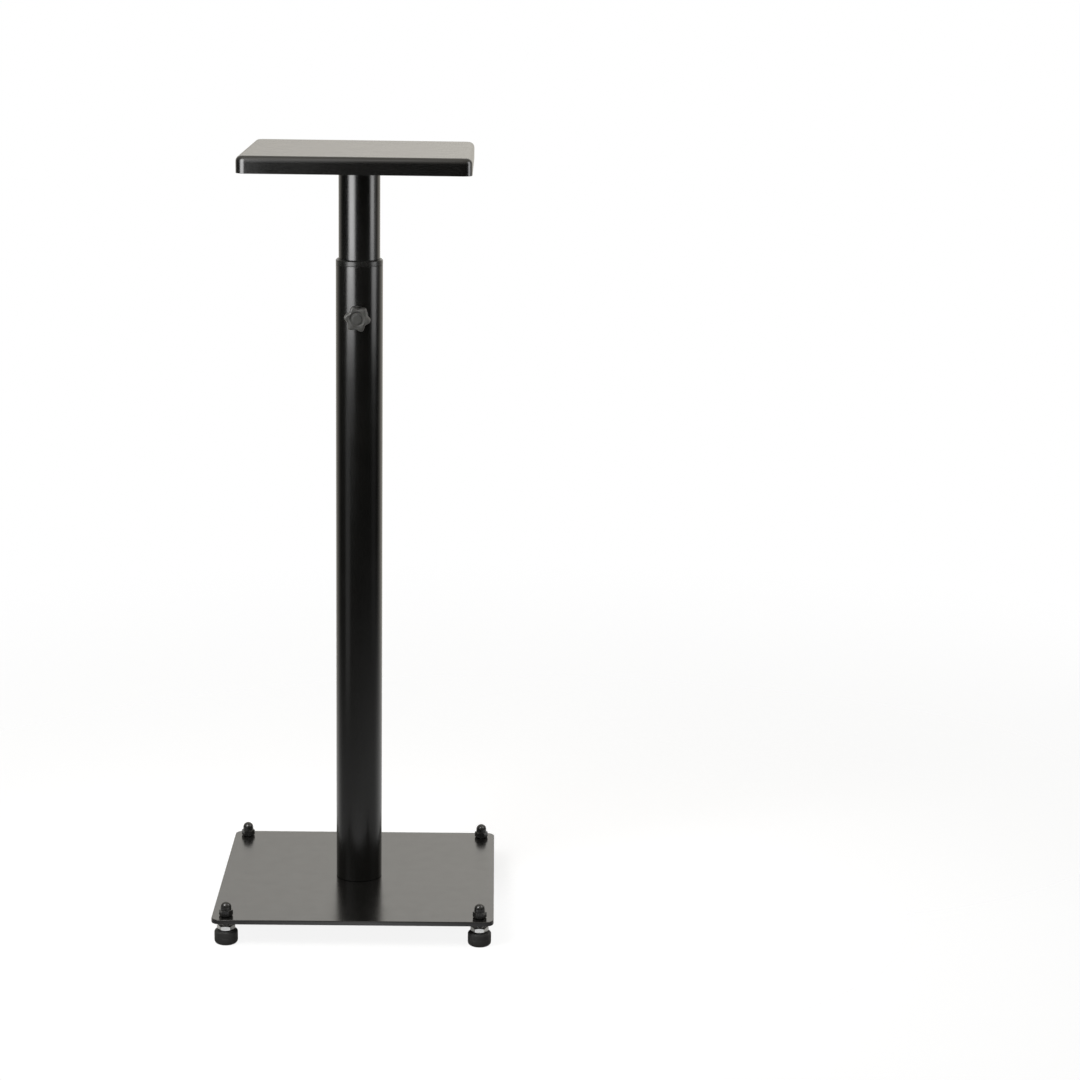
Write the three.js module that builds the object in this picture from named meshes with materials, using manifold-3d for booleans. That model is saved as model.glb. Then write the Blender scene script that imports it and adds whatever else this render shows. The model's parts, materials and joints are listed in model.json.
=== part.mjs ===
// Height-adjustable speaker stand: a steel floor plate on four levelling feet, a telescopic column
// with a star-knob clamp, and a pressed steel tray on top.
// Millimetres, +Z up. The origin is on the floor under the column's axis. The front faces -Y.

import * as THREE from 'three';
import { mergeVertices } from 'three/addons/utils/BufferGeometryUtils.js';
import Module from 'manifold-3d';

const wasm = await Module();
wasm.setup();

// ---------------------------------------------------------------- driving dimensions

// clearances
const seat = 0.3; // left between two pieces that rest on each other or are welded
const runningFit = 0.3; // radial, between pieces that slide or turn on each other
const threadFit = 0.3; // radial, between a screw's outside and its threaded hole
const screwHoleFit = 0.5; // radial, round a screw in a plain hole

// floor plate
const baseSide = 300;
const baseThickness = 5;
const baseCorner = 9;
const baseEdge = 0.8;
const footInset = 15; // from the plate's side to a foot's axis

// levelling feet
const padRadius = 12.5;
const padHeight = 15.5;
const padTopRound = 3;
const padBottomRound = 4;
const padFloor = 3.7; // rubber under the stud's head
const studRadius = 4;
const studHeadRadius = 6.5;
const studHeadHeight = 4;
const studHexAcross = 17;
const studHexHeight = 5;
const studHexGap = 4.7; // from the hexagon up to the floor plate
const studAbovePlate = 7;
const studTip = 1;

// cap nuts that lock the studs
const capNutAcross = 13;
const capNutHexHeight = 6.5;
const capNutHeight = 15;
const capNutDomeRadius = 5.75;
const capNutBoreDepth = 11.5;

// column tubes
const outerRadius = 25;
const outerWall = 1.5;
const outerLength = 680;
const innerRadius = 22;
const innerWall = 1.5;
const innerLength = 520;
const extension = 98; // bare inner tube between the collar and the tray's rim

// plug welded into the column's lower end
const plugHeight = 10;
const plugHoleRadius = 6;
const plugChamfer = 1;

// screws that hold the column to the plate, and the tray to its flange
const columnScrewCircle = 15;
const columnScrewLength = 16;
const topScrewLength = 10;
const screwRadius = 3;
const screwHeadRadius = 5.25;
const screwHeadHeight = 3.3;
const screwHeadRim = 1; // straight side of the head, below its crown
const screwCrownRadius = 2.9;
const screwSocketAcross = 4;
const screwSocketDepth = 2;
const screwTip = 0.8;
const washerRadius = 6;
const washerThickness = 1.6;

// plastic collar that guides the inner tube
const collarHeight = 6;
const collarSleeve = 40;
const collarChamfer = 1.3;
const collarLeadIn = 0.6;

// bush on the inner tube's lower end
const glideHeight = 12;
const glideSpigot = 20;
const glideBoreRadius = 17;
const glideChamfer = 1;

// clamp
const clampDrop = 52; // from the column tube's top end down to the knob's axis
const bossRadius = 9;
const bossReach = 33; // from the column's axis to the boss's face
const bossChamfer = 1;
const bossWeld = 1.5; // bead round the boss's foot
const clampPadThickness = 3;
const clampScrewRadius = 4;
const clampScrewTip = 0.8;
const knobGap = 1; // between the boss and the tightened knob
const knobHubRadius = 8;
const knobHubHeight = 5;
const knobHeadHeight = 12;
const knobRadius = 14;
const knobGroove = 3.2; // depth of the grooves between the lobes
const knobLobes = 6;
const knobPoint = 0.85; // under 1 the lobes get more pointed
const knobTurn = 52; // degrees, from +X to the first lobe
const knobEdge = 2.2;
const knobDishRadius = 8.5;
const knobDishDepth = 1.4;
const knobCapRadius = 5;
const knobCapHeight = 0.9;
const knobInsertDepth = 11;

// tray and its flange
const traySide = 240;
const trayHeight = 18;
const traySheet = 2;
const trayCorner = 10;
const trayEdge = 6;
const flangeSide = 100;
const flangeThickness = 4;
const flangeCorner = 10;
const flangeEdge = 0.5;
const flangeScrewInset = 12;
const flangeWeld = 2; // bead that joins the inner tube to the flange
const weldNutAcross = 10;
const weldNutHeight = 5;

// how far a cutter runs past the piece that it cuts
const past = 1;

// facets
const tubeFacets = 60;
const hiddenFacets = 36;
const padFacets = 24;
const nutFacets = 18;
const screwFacets = 12;
const hexFacets = 12; // a multiple of six, so the cone that turns off the corners meets them evenly
const cornerFacets = 6;

// ---------------------------------------------------------------- places worked out from them

const footReach = baseSide / 2 - footInset;
const studHexBottom = padHeight + seat;
const baseBottom = studHexBottom + studHexHeight + studHexGap;
const baseTop = baseBottom + baseThickness;
const studTop = baseTop + studAbovePlate;

const columnBottom = baseTop + seat;
const columnTop = columnBottom + outerLength;
const collarTop = columnTop + seat + collarHeight;
const clampHeight = columnTop - clampDrop;

const trayRim = collarTop + extension;
const trayUnderside = trayRim + trayHeight - traySheet;
const weldNutBottom = trayUnderside - seat - weldNutHeight;
const flangeBottom = weldNutBottom - seat - flangeThickness;
const innerTop = flangeBottom - seat;
const innerBottom = innerTop - innerLength;
const flangeScrewReach = flangeSide / 2 - flangeScrewInset;

// ---------------------------------------------------------------- materials

const finish = (color, roughness, metalness) => ({ color, roughness, metalness });
const blackCoat = finish(0x17171a, 0.38, 0.1);
const blackPlastic = finish(0x1d1d1f, 0.55, 0);
const greyPlastic = finish(0x2e2e31, 0.6, 0);
const blackRubber = finish(0x26262a, 0.75, 0);
const blackSteel = finish(0x101012, 0.3, 0.6);
const zincSteel = finish(0xb9bcc0, 0.3, 0.9);
const whiteNylon = finish(0xd8d6cf, 0.5, 0);

// ---------------------------------------------------------------- solids

// Joins a geometry's shared vertices and drops the triangles that collapse at a revolve's axis.
function sealed(geometry) {
  const bare = geometry.clone();
  bare.deleteAttribute('normal');
  bare.deleteAttribute('uv');
  const merged = mergeVertices(bare, 1e-4);
  const corners = merged.index.array;
  const kept = [];
  for (let i = 0; i < corners.length; i += 3) {
    const [a, b, c] = [corners[i], corners[i + 1], corners[i + 2]];
    if (a !== b && b !== c && c !== a) kept.push(a, b, c);
  }
  merged.setIndex(kept);
  return merged;
}

function toSolid(geometry) {
  const closed = sealed(geometry);
  const vertProperties = new Float32Array(closed.attributes.position.array);
  const triVerts = new Uint32Array(closed.index.array);
  return new wasm.Manifold(new wasm.Mesh({ numProp: 3, vertProperties, triVerts }));
}

function toGeometry(solid) {
  const mesh = solid.getMesh();
  const geometry = new THREE.BufferGeometry();
  geometry.setAttribute('position', new THREE.BufferAttribute(mesh.vertProperties, 3));
  geometry.setIndex(new THREE.BufferAttribute(mesh.triVerts, 1));
  geometry.computeVertexNormals();
  return geometry;
}

// A named mesh from a solid or a geometry, at its place in the parent group.
function piece(name, form, look, position = [0, 0, 0]) {
  const geometry = form.isBufferGeometry ? sealed(form) : toGeometry(form);
  const mesh = new THREE.Mesh(geometry, new THREE.MeshStandardMaterial(look));
  mesh.name = name;
  mesh.position.set(...position);
  return mesh;
}

// A solid of revolution about +Z. The outline is [radius, height] pairs that run upwards outside.
function revolved(outline, facets) {
  const points = outline.map(([radius, height]) => new THREE.Vector2(radius, height));
  return new THREE.LatheGeometry(points, facets).rotateX(Math.PI / 2);
}

// A hollow revolve: the outline closes on itself.
function ring(outline, facets) {
  return revolved([...outline, outline[0]], facets);
}

// Points of a quarter round about (radius, height), from one angle to another in degrees.
function arcPoints(radius, height, round, from, to, steps) {
  const points = [];
  for (let i = 0; i <= steps; i += 1) {
    const angle = THREE.MathUtils.degToRad(from + ((to - from) * i) / steps);
    points.push([radius + round * Math.cos(angle), height + round * Math.sin(angle)]);
  }
  return points;
}

// A rod along +Z from one height to another.
function rod(radius, from, to, facets) {
  const outline = [[0, from], [radius, from], [radius, to], [0, to]];
  return toSolid(revolved(outline, facets));
}

// A rod along the Y axis, centred on the origin.
function crossRod(radius, length, facets) {
  return toSolid(new THREE.CylinderGeometry(radius, radius, length, facets));
}

function roundedSquare(side, corner) {
  const flat = side / 2 - corner;
  const outline = new THREE.Shape();
  outline.absarc(flat, flat, corner, 0, Math.PI / 2);
  outline.absarc(-flat, flat, corner, Math.PI / 2, Math.PI);
  outline.absarc(-flat, -flat, corner, Math.PI, Math.PI * 1.5);
  outline.absarc(flat, -flat, corner, Math.PI * 1.5, Math.PI * 2);
  return outline;
}

// A square plate with rounded corners and softened edges, standing on z = 0.
function roundedPlate(side, corner, thickness, edge, edgeSteps) {
  const geometry = new THREE.ExtrudeGeometry(roundedSquare(side, corner), {
    depth: thickness - 2 * edge,
    bevelThickness: edge,
    bevelSize: edge,
    bevelOffset: -edge,
    bevelSegments: edgeSteps,
    curveSegments: cornerFacets,
  });
  return toSolid(geometry.translate(0, 0, edge));
}

// A hexagonal prism with its corners turned off at both ends, a corner pointing along +X.
function hexagon(across, from, to) {
  const cornerRadius = across / Math.sqrt(3);
  const slope = (cornerRadius - across / 2) * Math.tan(Math.PI / 6);
  const prism = new THREE.CylinderGeometry(cornerRadius, cornerRadius, to - from, 6);
  prism.rotateY(Math.PI / 6).rotateX(Math.PI / 2).translate(0, 0, (from + to) / 2);
  const limits = [
    [0, from],
    [across / 2, from],
    [cornerRadius, from + slope],
    [cornerRadius, to - slope],
    [across / 2, to],
    [0, to],
  ];
  return toSolid(prism).intersect(toSolid(revolved(limits, hexFacets)));
}

// The four corners of a square, as [x, y] pairs with their names.
function corners(reach) {
  return [
    { place: 'front_left', x: -reach, y: -reach },
    { place: 'front_right', x: reach, y: -reach },
    { place: 'back_left', x: -reach, y: reach },
    { place: 'back_right', x: reach, y: reach },
  ];
}

// ---------------------------------------------------------------- floor plate and feet

function basePlate() {
  let plate = roundedPlate(baseSide, baseCorner, baseThickness, baseEdge, 1);
  for (const { x, y } of corners(footReach)) {
    const hole = rod(studRadius + threadFit, -past, baseThickness + past, nutFacets);
    plate = plate.subtract(hole.translate([x, y, 0]));
  }
  for (const { x, y } of corners(columnScrewCircle / Math.SQRT2)) {
    const hole = rod(screwRadius + screwHoleFit, -past, baseThickness + past, screwFacets);
    plate = plate.subtract(hole.translate([x, y, 0]));
  }
  return plate;
}

// Rubber pad with the pocket that holds the stud's round head.
function footPad() {
  const body = revolved(
    [
      [0, 0],
      ...arcPoints(padRadius - padBottomRound, padBottomRound, padBottomRound, -90, 0, 3),
      ...arcPoints(padRadius - padTopRound, padHeight - padTopRound, padTopRound, 0, 90, 2),
      [0, padHeight],
    ],
    padFacets
  );
  const pocketTop = padFloor + studHeadHeight + 2 * seat;
  const pocket = rod(studHeadRadius + runningFit, padFloor, pocketTop, nutFacets);
  const neck = rod(studRadius + runningFit, padFloor, padHeight + past, nutFacets);
  return toSolid(body).subtract(pocket).subtract(neck);
}

// Levelling stud: round head, shank and the hexagon that a spanner turns.
function levellingStud() {
  const headBottom = padFloor + seat;
  const headTop = headBottom + studHeadHeight;
  const shank = revolved(
    [
      [0, headBottom],
      [studHeadRadius, headBottom],
      [studHeadRadius, headTop],
      [studRadius, headTop],
      [studRadius, studTop - studTip],
      [studRadius - studTip, studTop],
      [0, studTop],
    ],
    nutFacets
  );
  return toSolid(shank).add(hexagon(studHexAcross, studHexBottom, studHexBottom + studHexHeight));
}

// Domed nut, standing on z = 0.
function capNut() {
  const shoulder = capNutHeight - capNutDomeRadius;
  const dome = revolved(
    [
      [0, capNutHexHeight / 2],
      [capNutDomeRadius, capNutHexHeight / 2],
      ...arcPoints(0, shoulder, capNutDomeRadius, 0, 72, 4),
      [0, capNutHeight],
    ],
    nutFacets
  );
  const bore = rod(studRadius + threadFit, -past, capNutBoreDepth, nutFacets);
  return hexagon(capNutAcross, 0, capNutHexHeight).add(toSolid(dome)).subtract(bore);
}

// ---------------------------------------------------------------- fasteners

// Button-head socket screw along +Z. Its head's bearing face is at z = 0.
function buttonScrew(length) {
  const body = revolved(
    [
      [0, -screwHeadHeight],
      [screwCrownRadius, -screwHeadHeight],
      [screwHeadRadius, -screwHeadRim],
      [screwHeadRadius, 0],
      [screwRadius, 0],
      [screwRadius, length - screwTip],
      [screwRadius - screwTip, length],
      [0, length],
    ],
    screwFacets
  );
  const socketRadius = screwSocketAcross / Math.sqrt(3);
  const socket = new THREE.CylinderGeometry(socketRadius, socketRadius, 2 * screwSocketDepth, 6);
  socket.rotateX(Math.PI / 2).translate(0, 0, -screwHeadHeight);
  return toSolid(body).subtract(toSolid(socket));
}

function washer() {
  const hole = screwRadius + screwHoleFit;
  const outline = [[hole, 0], [washerRadius, 0], [washerRadius, washerThickness], [hole, washerThickness]];
  return ring(outline, screwFacets);
}

function weldNut() {
  const bore = rod(screwRadius + threadFit, -past, weldNutHeight + past, screwFacets);
  return hexagon(weldNutAcross, 0, weldNutHeight).subtract(bore);
}

// ---------------------------------------------------------------- column

// Upper tube, with the weld bead that joins it to the flange at its upper end.
function innerTube() {
  const bore = innerRadius - innerWall;
  return ring(
    [
      [bore, 0],
      [innerRadius, 0],
      [innerRadius, innerLength - flangeWeld],
      [innerRadius + flangeWeld, innerLength],
      [bore, innerLength],
    ],
    tubeFacets
  );
}

// Column tube with the hole that the clamp's pad and screw reach through.
function outerTube() {
  const bore = outerRadius - outerWall;
  const outline = [[bore, 0], [outerRadius, 0], [outerRadius, outerLength], [bore, outerLength]];
  const hole = rod(clampScrewRadius + threadFit, innerRadius, outerRadius + past, nutFacets);
  const turned = hole.rotate([90, 0, 0]).translate([0, 0, outerLength - clampDrop]);
  return toSolid(ring(outline, tubeFacets)).subtract(turned);
}

// Thick disc inside the column's lower end, tapped for the four column screws.
function basePlug() {
  const radius = outerRadius - outerWall - seat;
  const outline = [
    [plugHoleRadius, 0],
    [radius - plugChamfer, 0],
    [radius, plugChamfer],
    [radius, plugHeight],
    [plugHoleRadius, plugHeight],
  ];
  let plug = toSolid(ring(outline, hiddenFacets));
  for (const { x, y } of corners(columnScrewCircle / Math.SQRT2)) {
    const hole = rod(screwRadius + threadFit, -past, plugHeight + past, screwFacets);
    plug = plug.subtract(hole.translate([x, y, 0]));
  }
  return plug;
}

// Flanged plastic sleeve in the column's mouth. z = 0 is the tube's top end.
function guideCollar() {
  const bore = innerRadius + runningFit;
  const sleeve = outerRadius - outerWall - seat;
  const top = seat + collarHeight;
  return ring(
    [
      [bore, -collarSleeve],
      [sleeve, -collarSleeve],
      [sleeve, seat],
      [outerRadius, seat],
      [outerRadius, top - collarChamfer],
      [outerRadius - collarChamfer, top],
      [bore + collarLeadIn, top],
      [bore, top - collarLeadIn],
    ],
    tubeFacets
  );
}

// Bush under the inner tube: its shoulder runs in the column, its spigot turns in the inner tube.
// z = 0 is the inner tube's lower end.
function glideBush() {
  const shoulder = outerRadius - outerWall - runningFit;
  const spigot = innerRadius - innerWall - runningFit;
  const bottom = -seat - glideHeight;
  return ring(
    [
      [glideBoreRadius, bottom],
      [shoulder - glideChamfer, bottom],
      [shoulder, bottom + glideChamfer],
      [shoulder, -seat - glideChamfer],
      [shoulder - glideChamfer, -seat],
      [spigot, -seat],
      [spigot, glideSpigot - glideChamfer],
      [spigot - glideChamfer, glideSpigot],
      [glideBoreRadius, glideSpigot],
    ],
    hiddenFacets
  );
}

// ---------------------------------------------------------------- clamp
// Its pieces lie along +Z of their own group, whose origin is on the column's axis.

// Round boss welded to the column, with a saddle that follows the tube.
function clampBoss() {
  const outline = [
    [0, innerRadius],
    [bossRadius + bossWeld, innerRadius],
    [bossRadius + bossWeld, outerRadius],
    [bossRadius, outerRadius + 2 * bossWeld],
    [bossRadius, bossReach - bossChamfer],
    [bossRadius - bossChamfer, bossReach],
    [0, bossReach],
  ];
  const bore = rod(clampScrewRadius + threadFit, 0, bossReach + past, nutFacets);
  const saddle = crossRod(outerRadius + seat, 4 * bossRadius, tubeFacets);
  return toSolid(revolved(outline, padFacets)).subtract(saddle).subtract(bore);
}

const clampPadEnd = innerRadius + seat + clampPadThickness;

// Small pad between the screw and the inner tube, hollowed to the tube's curve.
function clampPad() {
  const disc = rod(clampScrewRadius, innerRadius - clampPadThickness, clampPadEnd, nutFacets);
  return disc.subtract(crossRod(innerRadius + seat, 4 * bossRadius, tubeFacets));
}

const knobStart = bossReach + knobGap;

function clampScrew() {
  const start = clampPadEnd + seat;
  const end = knobStart + knobInsertDepth - seat;
  return revolved(
    [
      [0, start],
      [clampScrewRadius - clampScrewTip, start],
      [clampScrewRadius, start + clampScrewTip],
      [clampScrewRadius, end],
      [0, end],
    ],
    nutFacets
  );
}

// Outline of the star: its radius swings between the lobes and the grooves.
function starOutline() {
  const steps = 12 * knobLobes;
  const points = [];
  for (let i = 0; i < steps; i += 1) {
    const angle = (2 * Math.PI * i) / steps;
    const swing = (1 - Math.cos(knobLobes * angle)) / 2;
    const radius = knobRadius - knobGroove * swing ** knobPoint;
    const turned = angle + THREE.MathUtils.degToRad(knobTurn);
    points.push(new THREE.Vector2(radius * Math.cos(turned), radius * Math.sin(turned)));
  }
  return new THREE.Shape(points);
}

// Six-lobed knob with a hub behind, a dished face and a round cap in the dish.
function clampKnob() {
  const headStart = knobStart + knobHubHeight;
  const headEnd = headStart + knobHeadHeight;
  const head = new THREE.ExtrudeGeometry(starOutline(), {
    depth: knobHeadHeight - 2 * knobEdge,
    bevelThickness: knobEdge,
    bevelSize: knobEdge,
    bevelOffset: -knobEdge,
    bevelSegments: 2,
  });
  head.translate(0, 0, headStart + knobEdge);
  const dish = revolved(
    [
      [0, headEnd - knobDishDepth],
      [knobDishRadius - knobDishDepth, headEnd - knobDishDepth],
      [knobDishRadius, headEnd],
      [knobDishRadius, headEnd + past],
      [0, headEnd + past],
    ],
    padFacets
  );
  const capTop = headEnd - knobDishDepth + knobCapHeight;
  const hub = rod(knobHubRadius, knobStart, headStart + knobEdge, padFacets);
  const cap = rod(knobCapRadius, headEnd - 2 * knobDishDepth, capTop, padFacets);
  const insertEnd = knobStart + knobInsertDepth;
  const bore = rod(clampScrewRadius + threadFit, knobStart - past, insertEnd, nutFacets);
  return toSolid(head).add(hub).subtract(toSolid(dish)).add(cap).subtract(bore);
}

// ---------------------------------------------------------------- tray and flange

function topFlange() {
  let flange = roundedPlate(flangeSide, flangeCorner, flangeThickness, flangeEdge, 1);
  for (const { x, y } of corners(flangeScrewReach)) {
    const hole = rod(screwRadius + screwHoleFit, -past, flangeThickness + past, screwFacets);
    flange = flange.subtract(hole.translate([x, y, 0]));
  }
  return flange;
}

// Tray pressed from one sheet: a flat top, a drawn edge and four lips. z = 0 is the rim.
function topPlate() {
  const skin = (side, corner, height, edge) =>
    roundedPlate(side, corner, height + edge, edge, 4).translate([0, 0, -edge]);
  const outside = skin(traySide, trayCorner, trayHeight, trayEdge);
  const inside = skin(
    traySide - 2 * traySheet,
    trayCorner - traySheet,
    trayHeight - traySheet,
    trayEdge - traySheet
  );
  const below = new THREE.BoxGeometry(2 * traySide, 2 * traySide, trayHeight);
  below.translate(0, 0, -trayHeight / 2);
  return outside.subtract(inside).subtract(toSolid(below));
}

// ---------------------------------------------------------------- assembly

const stand = new THREE.Group();

function group(parent, x, y, z) {
  const made = new THREE.Group();
  made.position.set(x, y, z);
  parent.add(made);
  return made;
}

stand.add(piece('base_plate', basePlate(), blackCoat, [0, 0, baseBottom]));

for (const { place, x, y } of corners(footReach)) {
  const foot = group(stand, x, y, 0);
  foot.add(piece(`foot_pad_${place}`, footPad(), blackRubber));
  foot.add(piece(`levelling_stud_${place}`, levellingStud(), zincSteel));
  foot.add(piece(`cap_nut_${place}`, capNut(), blackSteel, [0, 0, baseTop + seat]));
}

const column = group(stand, 0, 0, columnBottom);
column.add(piece('outer_tube', outerTube(), blackCoat));
column.add(piece('base_plug', basePlug(), zincSteel));
column.add(piece('guide_collar', guideCollar(), greyPlastic, [0, 0, outerLength]));

for (const { place, x, y } of corners(columnScrewCircle / Math.SQRT2)) {
  const washerBottom = baseBottom - seat - washerThickness;
  const screws = group(stand, x, y, washerBottom);
  screws.add(piece(`column_washer_${place}`, washer(), zincSteel));
  screws.add(piece(`column_screw_${place}`, buttonScrew(columnScrewLength), zincSteel, [0, 0, -seat]));
}

const clamp = group(stand, 0, 0, clampHeight);
clamp.rotation.x = Math.PI / 2;
clamp.add(piece('clamp_boss', clampBoss(), blackCoat));
clamp.add(piece('clamp_pad', clampPad(), whiteNylon));
clamp.add(piece('clamp_screw', clampScrew(), zincSteel));
clamp.add(piece('clamp_knob', clampKnob(), blackPlastic));

const post = group(stand, 0, 0, innerBottom);
post.add(piece('inner_tube', innerTube(), blackCoat));
post.add(piece('glide_bush', glideBush(), whiteNylon));

const head = group(stand, 0, 0, flangeBottom);
head.add(piece('top_flange', topFlange(), blackCoat));
head.add(piece('top_plate', topPlate(), blackCoat, [0, 0, trayRim - flangeBottom]));

for (const { place, x, y } of corners(flangeScrewReach)) {
  const fixing = group(head, x, y, 0);
  const washerBottom = -seat - washerThickness;
  const screw = buttonScrew(topScrewLength);
  fixing.add(piece(`top_washer_${place}`, washer(), zincSteel, [0, 0, washerBottom]));
  fixing.add(piece(`top_screw_${place}`, screw, zincSteel, [0, 0, washerBottom - seat]));
  fixing.add(piece(`weld_nut_${place}`, weldNut(), zincSteel, [0, 0, flangeThickness + seat]));
}

export default stand;
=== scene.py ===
# Height-adjustable speaker stand: floor plate on four levelling feet, telescopic column with a
# star-knob clamp, pressed tray on top. Shapes are worked out in millimetres and kept in metres.
import json
from math import atan2, cos, pi, radians, sin, sqrt, tan

import bmesh
import bpy
import numpy as np
from mathutils import Matrix, Vector

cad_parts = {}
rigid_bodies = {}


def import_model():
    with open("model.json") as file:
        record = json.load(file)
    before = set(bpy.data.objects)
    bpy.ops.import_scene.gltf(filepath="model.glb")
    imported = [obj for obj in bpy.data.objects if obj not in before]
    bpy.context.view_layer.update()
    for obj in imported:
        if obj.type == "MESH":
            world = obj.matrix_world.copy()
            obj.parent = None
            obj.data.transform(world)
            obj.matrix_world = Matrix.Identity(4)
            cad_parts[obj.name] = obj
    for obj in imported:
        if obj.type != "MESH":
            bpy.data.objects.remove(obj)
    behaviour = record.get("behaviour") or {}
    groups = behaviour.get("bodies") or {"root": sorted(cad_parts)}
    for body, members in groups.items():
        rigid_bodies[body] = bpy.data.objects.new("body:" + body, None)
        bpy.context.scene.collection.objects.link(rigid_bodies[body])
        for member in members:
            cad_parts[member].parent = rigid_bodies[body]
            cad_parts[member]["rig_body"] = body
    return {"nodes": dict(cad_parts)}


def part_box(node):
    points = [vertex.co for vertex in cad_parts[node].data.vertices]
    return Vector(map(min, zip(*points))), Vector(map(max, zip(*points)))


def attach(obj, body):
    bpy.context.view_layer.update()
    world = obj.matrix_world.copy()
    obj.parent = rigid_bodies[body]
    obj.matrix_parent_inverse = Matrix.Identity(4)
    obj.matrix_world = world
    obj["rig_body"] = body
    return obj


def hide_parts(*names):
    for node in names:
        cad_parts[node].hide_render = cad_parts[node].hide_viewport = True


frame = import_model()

mm = 0.001  # metres in a millimetre
micron = 0.000001  # metres in a micrometre
turn = 2 * pi
past = 1.0  # how far a cutter runs past the piece that it cuts
flatShares = (0.3, 0.6, 0.85)  # rows over a square's flat face, as shares of its half side
flatRing = 0.475  # radius of the flat on a hexagon's end, as a share of its width across flats
mergeWithin, collapseUnder = 1e-7, 1e-8  # metres
places = ("front_left", "front_right", "back_left", "back_right")
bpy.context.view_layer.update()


# Lowest and highest corner of a CAD node, in millimetres.
def nodeBox(node):
    low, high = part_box(node)
    return np.array(low) / mm, np.array(high) / mm


# Radius (or half side), bottom and top of a CAD node, in millimetres.
def nodeSpan(node):
    low, high = nodeBox(node)
    return (high[0] - low[0]) / 2, low[2], high[2]


# Centre of a CAD node seen from above, in millimetres.
def nodeAxis(node):
    low, high = nodeBox(node)
    return (low[:2] + high[:2]) / 2


# Profile with rounded corners: each corner is (across, up, radius). The two sides are cut back by
# radius / tan(half the corner's angle) and joined by an arc. A narrow strip before and after it, a
# share of that cut wide, keeps the long faces flat. A corner of radius 0 stays one point.
def roundProfile(corners, steps=5, stripShare=0.15):
    table = np.array(corners, float)
    spots, radii = table[:, :2], table[:, 2]
    before, after = np.roll(spots, 1, 0), np.roll(spots, -1, 0)
    line = []
    for here, last, following, radius in zip(spots, before, after, radii):
        if radius == 0:
            line.append(here[None])
            continue
        back, ahead = last - here, following - here
        back, ahead = back / np.linalg.norm(back), ahead / np.linalg.norm(ahead)
        half = np.arccos(np.clip(back @ ahead, -1, 1)) / 2
        cut = radius / tan(half)
        hold = stripShare * cut
        middle = here + (back + ahead) / np.linalg.norm(back + ahead) * radius / sin(half)
        start = here + back * cut - middle
        end = here + ahead * cut - middle
        first = atan2(start[1], start[0])
        sweep = (atan2(end[1], end[0]) - first + pi) % turn - pi
        angle = first + sweep * np.linspace(0, 1, steps + 1)
        arc = middle + radius * np.stack([np.cos(angle), np.sin(angle)], 1)
        line += [(here + back * (cut + hold))[None], arc, (here + ahead * (cut + hold))[None]]
    return np.concatenate(line)


# Angles round an axis, an even step apart.
def evenAngles(count):
    return np.arange(count) * turn / count


# Revolve: row i goes round the axis at radius r and height z, each of which may change with the
# angle.
def turnedRows(rows, angles):
    radius = np.stack([np.broadcast_to(np.asarray(r, float), angles.shape) for r, z in rows])
    height = np.stack([np.broadcast_to(np.asarray(z, float), angles.shape) for r, z in rows])
    return np.stack([radius * np.cos(angles), radius * np.sin(angles), height], -1)


# The same round a CAD node's own upright axis.
def turnedOn(node, rows, angles):
    return turnedRows(rows, angles) + (*nodeAxis(node), 0)


# Angle from the middle of the nearest flat of a hexagon that has a corner at angle 0.
def fromFlat(angles):
    return (angles % (pi / 3)) - pi / 6


# Half the angle that a flat takes up, when the hexagon's corners are rounded off.
def flatHalfAngle(across, rounding):
    return atan2((across / 2 - rounding) * tan(pi / 6), across / 2)


# Angles round a hexagonal piece: even over each flat and close together round each corner.
def hexAngles(across, rounding, flatSteps=8, cornerSteps=4):
    half = flatHalfAngle(across, rounding)
    flat = np.linspace(-half, half, flatSteps, endpoint=False)
    corner = np.linspace(half, pi / 3 - half, cornerSteps, endpoint=False)
    sector = np.concatenate([flat, corner]) + pi / 6
    return (sector + np.arange(6)[:, None] * pi / 3).ravel()


# Radius of a hexagon: apothem / cos(angle) on a flat, and the far side of a small circle at a
# corner.
def hexRadius(angles, across, rounding):
    away = np.abs(fromFlat(angles))
    toCorner = pi / 6 - away
    centre = (across / 2 - rounding) / cos(pi / 6)
    onFlat = across / 2 / np.cos(away)
    beside = centre * np.sin(toCorner)
    arc = centre * np.cos(toCorner) + np.sqrt(np.maximum(rounding ** 2 - beside ** 2, 0))
    return np.where(away <= flatHalfAngle(across, rounding) + 1e-9, onFlat, arc)


# Rows down a hexagon: the flat ring on its top, the edge that a cone turns off its corners, falling
# by (radius - ring) times the tangent of 30 degrees, and the same again at its underside.
def hexRows(angles, look, bottom, top):
    ring = flatRing * look["across"]
    outline = hexRadius(angles, look["across"], look["rounding"])
    cone = (outline - ring) * tan(pi / 6)
    return [(ring, top), (outline, top - cone), (outline, bottom + cone), (ring, bottom)]


# Depth and run-out are in pitches.
thread = {"depth": 0.6, "steepness": 1.5, "crest": 0.3, "runOut": 0.6}


# Rows of a screw thread: the radius falls from the crest by a rounded saw-tooth of height / pitch
# minus angle / turn, and the groove runs out towards both ends.
def threadRows(radius, pitch, bottom, top, angles, perPitch=10):
    heights = np.linspace(bottom, top, int((top - bottom) / pitch * perPitch) + 2)
    phase = heights[:, None] / pitch - angles[None, :] / turn
    tooth = np.clip(np.abs((phase % 1) * 2 - 1) * thread["steepness"] - thread["crest"], 0, 1)
    toEnd = np.minimum(heights - bottom, top - heights)
    runOut = np.clip(toEnd / pitch / thread["runOut"], 0, 1)[:, None]
    cut = thread["depth"] * pitch * runOut * tooth * tooth * (3 - 2 * tooth)
    return list(zip(radius - cut, heights))


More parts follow.
